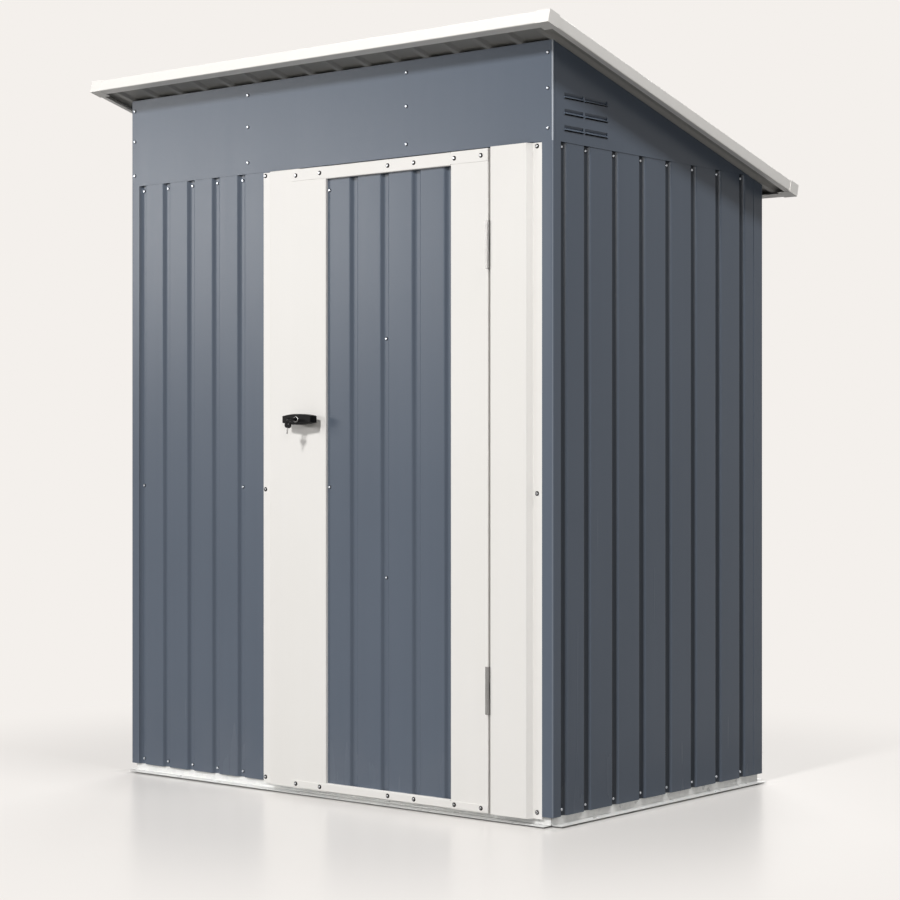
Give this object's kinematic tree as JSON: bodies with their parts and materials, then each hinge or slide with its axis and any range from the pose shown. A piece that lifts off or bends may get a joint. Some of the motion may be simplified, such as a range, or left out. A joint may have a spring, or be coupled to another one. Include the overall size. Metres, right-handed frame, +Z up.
{
  "type": "metal storage shed",
  "caption": "Small steel garden shed with ribbed grey walls, a lean-to roof with white trims, louvred gables and one outward hinged door with a T-handle lock.",
  "frame": {"origin": "on the ground under the middle of the roof's outline", "axes": "+Z up; X across the front; the door side looks towards -Y and the roof falls towards +Y"},
  "size_m": [1.54, 1.096, 1.8582],
  "materials": {
    "wall_paint": "satin blue-grey paint on ribbed steel sheet",
    "trim_paint": "satin off-white paint on folded steel",
    "base_coat": "pale coated steel angle",
    "roof_paint": "satin neutral grey paint on ribbed steel sheet",
    "rail_zinc": "zinc coated channel",
    "hinge_steel": "bright plated steel",
    "lock_black": "black moulded handle and key head",
    "lock_bright": "nickel plated lock cylinder"
  },
  "bodies": {
    "shell": {"front_left_panel": "wall_paint", "front_right_panel": "wall_paint", "right_wall_panel": "wall_paint", "left_wall_panel": "wall_paint", "back_panel_1": "wall_paint", "back_panel_2": "wall_paint", "back_panel_3": "wall_paint", "corner_front_right": "wall_paint", "corner_front_left": "wall_paint", "corner_rear_right": "wall_paint", "corner_rear_left": "wall_paint", "front_header": "wall_paint", "gable_right": "wall_paint", "gable_left": "wall_paint", "left_jamb": "trim_paint", "right_jamb": "trim_paint", "fascia_front": "trim_paint", "fascia_back": "trim_paint", "verge_right": "trim_paint", "verge_left": "trim_paint", "roof_corner_caps": "trim_paint", "base_rail_front": "base_coat", "base_rail_back": "base_coat", "base_rail_right": "base_coat", "base_rail_left": "base_coat", "roof_sheet_1": "roof_paint", "roof_sheet_2": "roof_paint", "top_rail_front": "rail_zinc", "top_rail_back": "rail_zinc", "top_rail_right": "rail_zinc", "top_rail_left": "rail_zinc", "mid_rail_front": "rail_zinc", "mid_rail_back": "rail_zinc", "mid_rail_right": "rail_zinc", "mid_rail_left": "rail_zinc", "roof_purlin": "rail_zinc", "hinge_jamb_leaves": "hinge_steel"},
    "door": {"door_left_stile": "trim_paint", "door_right_stile": "trim_paint", "door_top_rail": "trim_paint", "door_bottom_rail": "trim_paint", "door_panel": "wall_paint", "door_braces": "rail_zinc", "hinge_door_leaves": "hinge_steel"},
    "handle": {"lock_handle": "lock_black", "lock_cam": "hinge_steel", "lock_cylinder": "lock_bright", "door_key": "lock_black"}
  },
  "joints": [
    {"name": "door_hinge", "type": "hinge", "parent": "shell", "child": "door", "pos_m": [0.538, -0.47297, 0], "axis": [0, 0, 1], "range_deg": [0, 115]},
    {"name": "handle_turn", "type": "hinge", "parent": "door", "child": "handle", "pos_m": [-0.044, -0.46977, 0.942], "axis": [0, -1, 0], "range_deg": [0, 90]}
  ]
}
